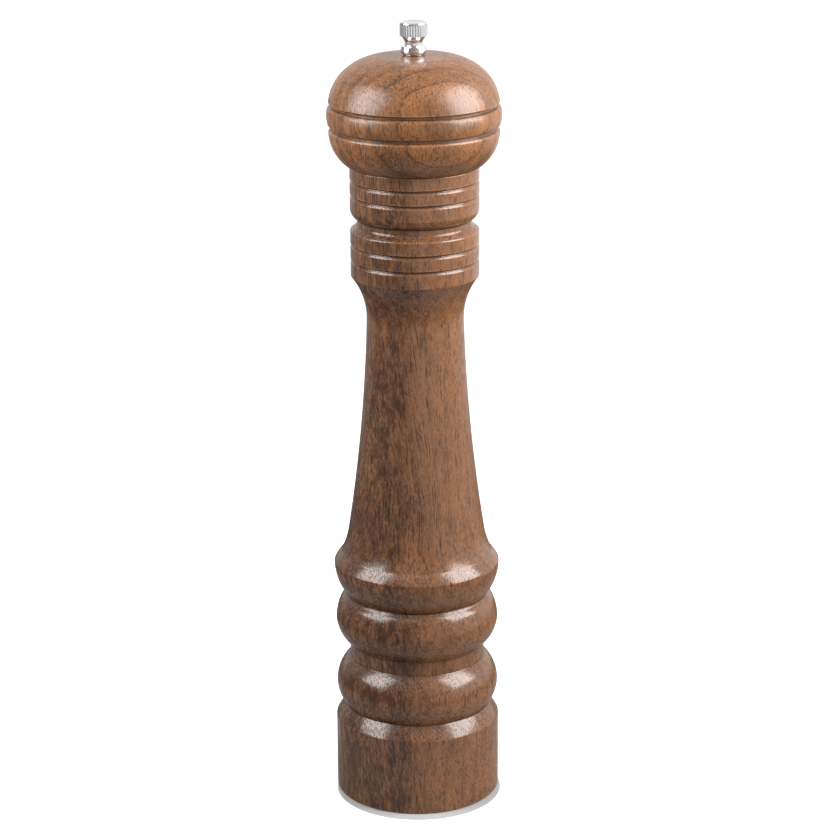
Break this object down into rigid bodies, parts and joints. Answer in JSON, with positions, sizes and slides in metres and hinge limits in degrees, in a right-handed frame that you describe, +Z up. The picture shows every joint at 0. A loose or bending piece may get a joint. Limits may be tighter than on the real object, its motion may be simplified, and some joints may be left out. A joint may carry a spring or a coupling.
{
  "type": "pepper mill",
  "caption": "Tall turned-wood pepper mill with beads on its foot, a grooved neck, a domed turning head and a small knurled metal nut.",
  "frame": {"origin": "centre of the foot's flat face, on the turning axis", "axes": "+Z up along the turning axis, from the foot to the top nut; the bridge inside lies along X"},
  "size_m": [0.0661, 0.066, 0.3063],
  "materials": {
    "walnut_body": "satin lacquer over walnut stain",
    "walnut_head": "satin lacquer over walnut stain",
    "chrome": "polished",
    "zinc_steel": "zinc plated",
    "plain_steel": "rolled, plain",
    "spring_steel": "drawn wire",
    "burr_steel": "case-hardened, sintered",
    "holder_metal": "die cast, plated",
    "nylon": "moulded, matt"
  },
  "bodies": {
    "body": {"mill_body": "walnut_body", "body_collar": "zinc_steel", "shaft_bridge": "zinc_steel", "bridge_bush": "nylon", "bridge_screws": "zinc_steel", "stop_washer": "plain_steel", "burr_holder": "holder_metal", "stator_burr": "burr_steel", "holder_screws": "zinc_steel"},
    "turning_set": {"thrust_washer": "plain_steel", "grinder_spring": "spring_steel"},
    "spindle": {"drive_shaft": "plain_steel", "shaft_clip": "spring_steel", "spring_seat": "plain_steel", "rotor_burr": "burr_steel", "rotor_washer": "zinc_steel", "rotor_screw": "zinc_steel"},
    "head": {"mill_head": "walnut_head", "drive_plate": "zinc_steel", "drive_plate_screws": "zinc_steel"},
    "nut_seat": {"nut_washer": "plain_steel"},
    "nut": {"finial_nut": "chrome"}
  },
  "joints": [
    {"name": "head_turn", "type": "hinge", "parent": "body", "child": "turning_set", "pos_m": [0, 0, 0.2524], "axis": [0, 0, 1], "continuous": true},
    {"name": "grind_gap", "type": "slide", "parent": "turning_set", "child": "spindle", "axis": [0, 0, 1], "range_m": [0, 0.0016], "stiffness_N_per_m": 1500, "springref_m": -0.003, "deforming": ["grinder_spring"]},
    {"name": "head_lift", "type": "slide", "parent": "turning_set", "child": "head", "axis": [0, 0, 1], "range_m": [0, 0.08]},
    {"name": "nut_lift", "type": "slide", "parent": "head", "child": "nut_seat", "axis": [0, 0, 1], "range_m": [0, 0.03]},
    {"name": "nut_turn", "type": "hinge", "parent": "nut_seat", "child": "nut", "pos_m": [0, 0, 0.29385], "axis": [0, 0, 1], "range_deg": [-720, 0]}
  ],
  "couplings": [
    {"joint": "nut_turn", "follows": "grind_gap", "rad_per_m": -7853.9}
  ]
}
